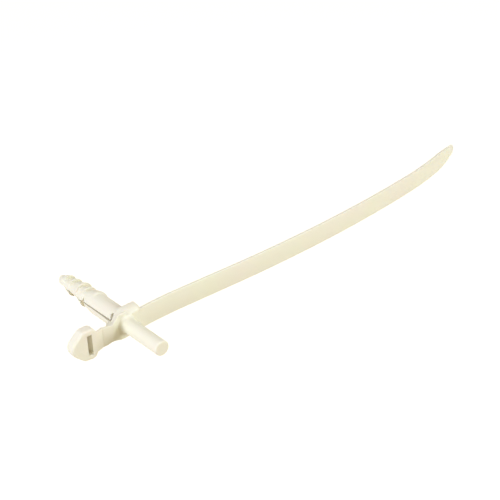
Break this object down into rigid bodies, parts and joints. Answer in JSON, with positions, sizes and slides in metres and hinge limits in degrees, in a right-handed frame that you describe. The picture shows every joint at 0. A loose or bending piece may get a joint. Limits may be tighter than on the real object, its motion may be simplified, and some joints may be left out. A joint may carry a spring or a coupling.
{
  "type": "fir tree cable tie",
  "caption": "One-piece nylon cable tie with a slotted locking head, a hammer-in drive pin, a split barbed wall plug and a long toothed strap.",
  "frame": {"origin": "on the wall plug's axis, in the plane of the wall that the hub's back face seats on", "axes": "+X along the strap from the hub towards the tail, +Y along the plug into the wall, +Z across the strap's width"},
  "size_m": [0.2144, 0.0645, 0.0116],
  "materials": {
    "natural_nylon": "smooth moulded natural nylon, off-white, soft half gloss"
  },
  "bodies": {
    "root": {"cable_tie": "natural_nylon"}
  },
  "joints": []
}
